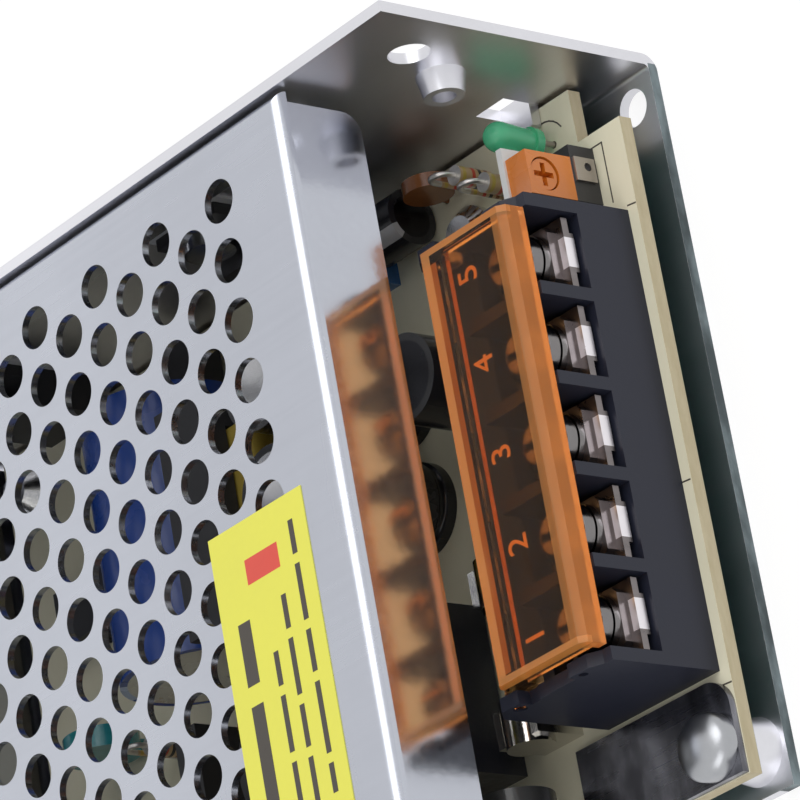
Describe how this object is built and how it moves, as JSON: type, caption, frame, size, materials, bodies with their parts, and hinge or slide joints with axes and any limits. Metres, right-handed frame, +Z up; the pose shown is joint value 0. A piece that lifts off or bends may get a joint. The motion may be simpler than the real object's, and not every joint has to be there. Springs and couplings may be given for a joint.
{
  "type": "enclosed switching power supply",
  "caption": "Low metal-cased power supply with a perforated cover, an open terminal end and a clear amber flap over its row of screw terminals.",
  "frame": {"origin": "middle of the case's underside", "axes": "+X from the terminal end to the far end, +Y from the wall that is part of the base to the cover's side, +Z up"},
  "size_m": [0.11, 0.078, 0.0361],
  "materials": {
    "zinc_sheet": "bright plated sheet",
    "cover_sheet": "satin plated sheet",
    "film": "satin film",
    "board": "satin laminate",
    "block": "satin moulding",
    "amber": "clear amber",
    "tinned": "tinned",
    "screw": "bright plated",
    "green_lens": "diffused lens",
    "black_moulding": "satin moulding",
    "orange_moulding": "glossy moulding",
    "white_ceramic": "matt ceramic",
    "ferrite": "matt ferrite",
    "tape": "wound tape",
    "blue_sleeve": "shrink sleeve",
    "silver_can": "drawn can",
    "black_sleeve": "shrink sleeve",
    "film_case": "moulded case",
    "teal_dip": "dipped coat",
    "brown_dip": "dipped coat",
    "blue_dip": "dipped coat",
    "black_dip": "dipped coat",
    "enamel_wire": "enamelled copper",
    "clear_glass": "clear",
    "nickel": "nickel plated",
    "pad": "soft pad",
    "epoxy": "moulded epoxy",
    "resistor_coat": "lacquer",
    "yellow_label": "printed sticker"
  },
  "bodies": {
    "case": {"chassis": "zinc_sheet", "cover": "cover_sheet", "insulation_sheet": "film", "circuit_board": "board", "terminal_housing": "block", "status_led": "green_lens", "led_leads": "tinned", "trimmer_base": "black_moulding", "trimmer_plate": "white_ceramic", "trimmer_housing": "orange_moulding", "trimmer_wiper": "tinned", "transformer_core": "ferrite", "transformer_winding": "tape", "transformer_bobbin": "black_moulding", "bulk_capacitor": "blue_sleeve", "output_capacitor_1": "silver_can", "output_capacitor_2": "silver_can", "start_capacitor": "black_sleeve", "suppression_capacitor": "film_case", "ceramic_capacitor": "brown_dip", "filter_capacitor": "blue_dip", "safety_capacitor": "blue_dip", "varistor": "teal_dip", "inrush_thermistor": "black_dip", "choke_core": "ferrite", "choke_windings": "enamel_wire", "fuse_tube": "clear_glass", "fuse_caps": "nickel", "fuse_clips": "nickel", "output_rectifier": "epoxy", "output_rectifier_pad": "pad", "switching_transistor": "epoxy", "switching_transistor_pad": "pad", "package_screws": "screw", "bridge_rectifier": "epoxy", "control_chip": "epoxy", "optocoupler": "epoxy", "output_inductor": "black_sleeve", "resistors": "resistor_coat", "foot_screw": "screw", "board_screws": "screw", "cover_screws": "screw", "label": "yellow_label", "contact_plate_1": "tinned", "contact_plate_2": "tinned", "contact_plate_3": "tinned", "contact_plate_4": "tinned", "contact_plate_5": "tinned"},
    "flap": {"terminal_flap": "amber"},
    "trimmer_dial": {"trimmer_rotor": "orange_moulding"},
    "clamp_1": {"clamp_plate_1": "tinned"},
    "screw_1": {"terminal_screw_1": "screw"},
    "clamp_2": {"clamp_plate_2": "tinned"},
    "screw_2": {"terminal_screw_2": "screw"},
    "clamp_3": {"clamp_plate_3": "tinned"},
    "screw_3": {"terminal_screw_3": "screw"},
    "clamp_4": {"clamp_plate_4": "tinned"},
    "screw_4": {"terminal_screw_4": "screw"},
    "clamp_5": {"clamp_plate_5": "tinned"},
    "screw_5": {"terminal_screw_5": "screw"}
  },
  "joints": [
    {"name": "flap_hinge", "type": "hinge", "parent": "case", "child": "flap", "pos_m": [-0.0395, 0.00275, 0.0201], "axis": [0, 1, 0], "range_deg": [0, 70]},
    {"name": "trimmer_turn", "type": "hinge", "parent": "case", "child": "trimmer_dial", "pos_m": [-0.0498, -0.0261, 0.0134], "axis": [-1, 0, 0], "range_deg": [-130, 130]},
    {"name": "clamp_lift_1", "type": "slide", "parent": "case", "child": "clamp_1", "axis": [0, 0, 1], "range_m": [0, 0.0024]},
    {"name": "screw_turn_1", "type": "hinge", "parent": "clamp_1", "child": "screw_1", "pos_m": [-0.0481, 0.02175, 0.017], "axis": [0, 0, 1], "range_deg": [0, 1440]},
    {"name": "clamp_lift_2", "type": "slide", "parent": "case", "child": "clamp_2", "axis": [0, 0, 1], "range_m": [0, 0.0024]},
    {"name": "screw_turn_2", "type": "hinge", "parent": "clamp_2", "child": "screw_2", "pos_m": [-0.0481, 0.01225, 0.017], "axis": [0, 0, 1], "range_deg": [0, 1440]},
    {"name": "clamp_lift_3", "type": "slide", "parent": "case", "child": "clamp_3", "axis": [0, 0, 1], "range_m": [0, 0.0024]},
    {"name": "screw_turn_3", "type": "hinge", "parent": "clamp_3", "child": "screw_3", "pos_m": [-0.0481, 0.00275, 0.017], "axis": [0, 0, 1], "range_deg": [0, 1440]},
    {"name": "clamp_lift_4", "type": "slide", "parent": "case", "child": "clamp_4", "axis": [0, 0, 1], "range_m": [0, 0.0024]},
    {"name": "screw_turn_4", "type": "hinge", "parent": "clamp_4", "child": "screw_4", "pos_m": [-0.0481, -0.00675, 0.017], "axis": [0, 0, 1], "range_deg": [0, 1440]},
    {"name": "clamp_lift_5", "type": "slide", "parent": "case", "child": "clamp_5", "axis": [0, 0, 1], "range_m": [0, 0.0024]},
    {"name": "screw_turn_5", "type": "hinge", "parent": "clamp_5", "child": "screw_5", "pos_m": [-0.0481, -0.01625, 0.017], "axis": [0, 0, 1], "range_deg": [0, 1440]}
  ],
  "couplings": [
    {"joint": "screw_turn_1", "follows": "clamp_lift_1", "rad_per_m": 10472},
    {"joint": "screw_turn_2", "follows": "clamp_lift_2", "rad_per_m": 10472},
    {"joint": "screw_turn_3", "follows": "clamp_lift_3", "rad_per_m": 10472},
    {"joint": "screw_turn_4", "follows": "clamp_lift_4", "rad_per_m": 10472},
    {"joint": "screw_turn_5", "follows": "clamp_lift_5", "rad_per_m": 10472}
  ]
}
